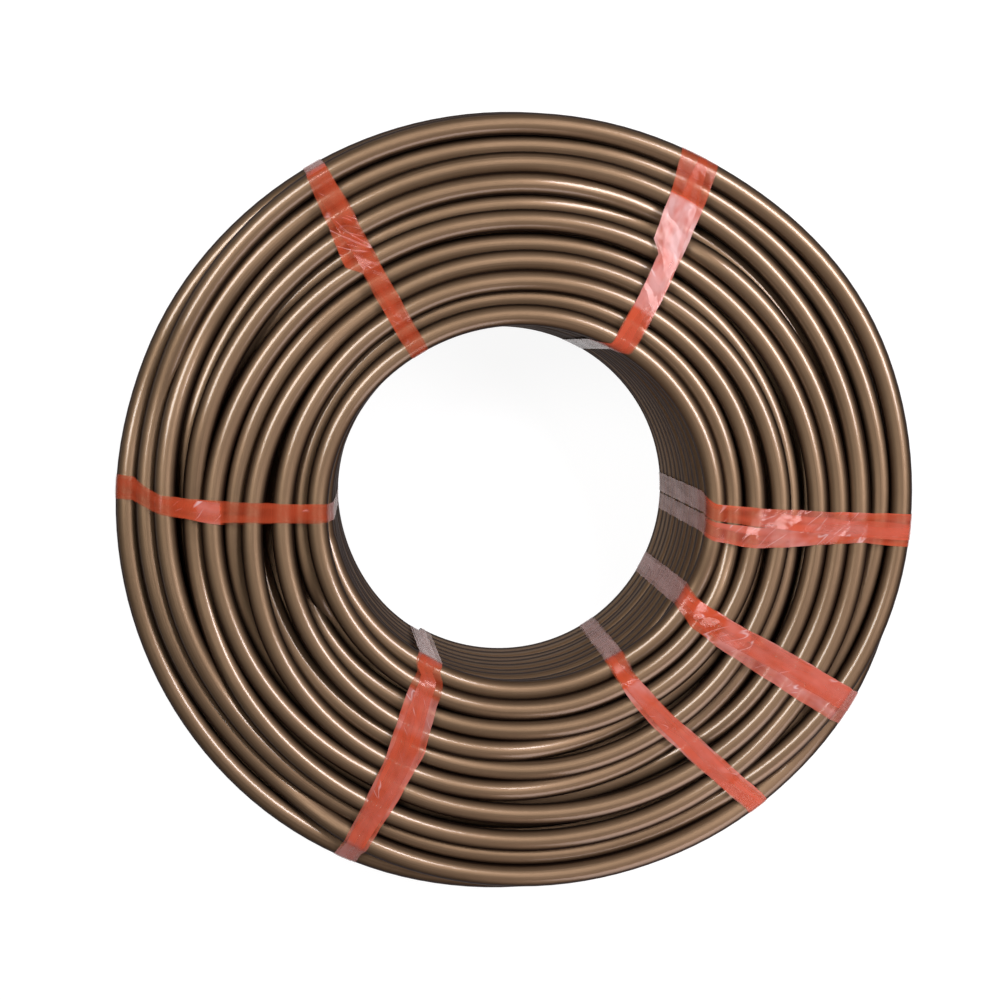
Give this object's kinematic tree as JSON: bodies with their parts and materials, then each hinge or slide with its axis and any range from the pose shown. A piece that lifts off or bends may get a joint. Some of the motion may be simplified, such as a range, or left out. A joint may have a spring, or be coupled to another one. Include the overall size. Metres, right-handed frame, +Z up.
{
  "type": "pex pipe coil",
  "caption": "Coil of thin plastic heating pipe, wound in nested layers round an open bore and tied with bands of coloured stretch film.",
  "frame": {"origin": "on the floor, on the axis of the coil, level with the underside of the film bands that it rests on", "axes": "+Z up the axis of the coil; the coil lies on its end face, and film band 1 crosses that face nearly along +X"},
  "size_m": [0.7404, 0.7398, 0.2228],
  "materials": {
    "pipe": "satin bronze, as extruded",
    "film": "translucent, glossy and creased"
  },
  "bodies": {
    "root": {"pipe_coil": "pipe", "film_band_1": "film", "film_band_2": "film", "film_band_3": "film", "film_band_4": "film", "film_band_5": "film", "film_band_6": "film", "film_band_7": "film"}
  },
  "joints": []
}
